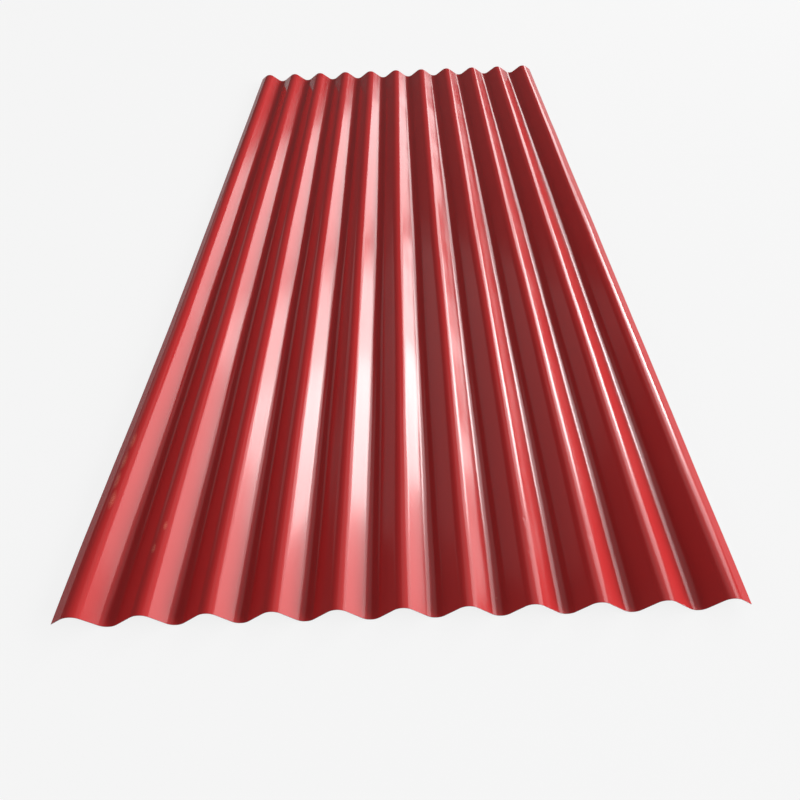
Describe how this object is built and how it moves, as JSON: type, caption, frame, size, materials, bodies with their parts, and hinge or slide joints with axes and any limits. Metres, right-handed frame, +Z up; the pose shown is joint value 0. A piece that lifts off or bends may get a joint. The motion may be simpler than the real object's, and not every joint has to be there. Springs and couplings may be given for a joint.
{
  "type": "corrugated metal sheet",
  "caption": "Roll-formed corrugated steel sheet for roofs and walls, with even round waves, straight flanks, sheared ends and both side edges turned down.",
  "frame": {"origin": "on the floor under the middle of the sheet, at the level of the valley bottoms", "axes": "+X across the waves, +Y along the waves, +Z up"},
  "size_m": [0.804, 2, 0.0195],
  "materials": {
    "painted_steel": "glossy polyester coil coat in red, on galvanised steel"
  },
  "bodies": {
    "root": {"corrugated_sheet": "painted_steel"}
  },
  "joints": []
}
